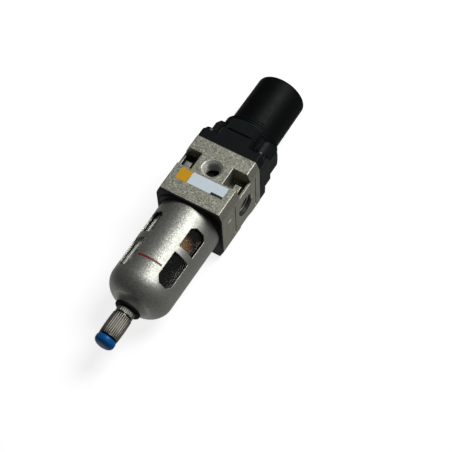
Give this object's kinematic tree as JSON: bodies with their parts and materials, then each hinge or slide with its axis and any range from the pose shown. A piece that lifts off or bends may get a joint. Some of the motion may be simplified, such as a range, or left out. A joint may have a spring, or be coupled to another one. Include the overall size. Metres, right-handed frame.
{
  "type": "filter regulator",
  "caption": "Compact modular compressed-air filter regulator with push-lock knob, clear bowl in a windowed metal guard and push drain.",
  "frame": {"origin": "on the centre line, at the middle of the panel thread on the bonnet's neck", "axes": "+Z along the centre line towards the knob, -Y out of the gauge port, +X out of the outlet port"},
  "size_m": [0.0406, 0.0401, 0.1816],
  "materials": {
    "adjusting_nut": "turned",
    "adjusting_screw": "turned",
    "baffle": "moulded",
    "body": "metallic paint, satin",
    "bonnet": "moulded",
    "bonnet_screws": "blackened",
    "bowl": "clear",
    "bowl_collar": "moulded",
    "bowl_guard": "metallic satin",
    "bowl_o_ring": "matte",
    "bowl_ring": "moulded",
    "diaphragm": "matte",
    "diaphragm_plate": "turned",
    "diaphragm_retainer": "turned",
    "drain_body": "knurled",
    "drain_button": "moulded",
    "drain_lock_ring": "knurled",
    "drain_seal": "matte",
    "drain_spring": "plain",
    "drain_stem": "turned",
    "filter_element": "sintered",
    "guard_ring": "matte",
    "guide_o_ring": "matte",
    "knob": "satin",
    "louver": "moulded",
    "rear_plug": "plain",
    "regulating_spring": "plain",
    "screw_clip": "plain",
    "square_sticker": "printed",
    "strip_sticker": "printed",
    "valve_disc": "matte",
    "valve_guide": "moulded",
    "valve_poppet": "turned",
    "valve_spring": "plain",
    "valve_stem": "turned"
  },
  "bodies": {
    "base": {"body": "body", "bonnet": "bonnet", "bonnet_screws": "bonnet_screws", "bowl_collar": "bowl_collar", "rear_plug": "rear_plug", "square_sticker": "square_sticker", "strip_sticker": "strip_sticker", "valve_guide": "valve_guide", "guide_o_ring": "guide_o_ring", "louver": "louver", "filter_element": "filter_element", "baffle": "baffle"},
    "screw": {"adjusting_screw": "adjusting_screw", "screw_clip": "screw_clip"},
    "knob": {"knob": "knob"},
    "nut": {"adjusting_nut": "adjusting_nut", "regulating_spring": "regulating_spring"},
    "valve": {"diaphragm_plate": "diaphragm_plate", "diaphragm_retainer": "diaphragm_retainer", "diaphragm": "diaphragm", "valve_stem": "valve_stem", "valve_poppet": "valve_poppet", "valve_disc": "valve_disc", "valve_spring": "valve_spring"},
    "ring": {"bowl_ring": "bowl_ring"},
    "bowl_unit": {"bowl": "bowl", "bowl_o_ring": "bowl_o_ring", "bowl_guard": "bowl_guard", "guard_ring": "guard_ring", "drain_lock_ring": "drain_lock_ring"},
    "drain_sleeve": {"drain_body": "drain_body"},
    "drain_plunger": {"drain_button": "drain_button", "drain_stem": "drain_stem", "drain_seal": "drain_seal", "drain_spring": "drain_spring"}
  },
  "joints": [
    {"name": "knob_turn", "type": "hinge", "parent": "base", "child": "screw", "pos_m": [0, 0, 0.027], "axis": [0, 0, -1], "range_deg": [0, 1800]},
    {"name": "knob_pull", "type": "slide", "parent": "screw", "child": "knob", "axis": [0, 0, 1], "range_m": [0, 0.0025]},
    {"name": "nut_travel", "type": "slide", "parent": "base", "child": "nut", "axis": [0, 0, -1], "range_m": [0, 0.00626], "deforming": ["regulating_spring"]},
    {"name": "valve_stroke", "type": "slide", "parent": "base", "child": "valve", "axis": [0, 0, -1], "range_m": [0, 0.0012], "stiffness_N_per_m": 400, "springref_m": -0.003, "deforming": ["valve_spring", "diaphragm"]},
    {"name": "bowl_drop", "type": "slide", "parent": "base", "child": "ring", "axis": [0, 0, -1], "range_m": [0, 0.075]},
    {"name": "bowl_turn", "type": "hinge", "parent": "ring", "child": "bowl_unit", "pos_m": [0, 0, -0.083], "axis": [0, 0, 1], "range_deg": [0, 45]},
    {"name": "drain_turn", "type": "hinge", "parent": "bowl_unit", "child": "drain_sleeve", "pos_m": [0, 0, -0.133], "axis": [0, 0, 1], "range_deg": [0, 90]},
    {"name": "drain_push", "type": "slide", "parent": "drain_sleeve", "child": "drain_plunger", "axis": [0, 0, 1], "range_m": [0, 0.0009], "stiffness_N_per_m": 400, "springref_m": -0.003, "deforming": ["drain_spring"]}
  ],
  "couplings": [
    {"joint": "nut_travel", "follows": "knob_turn", "m_per_rad": 0.00019894}
  ]
}
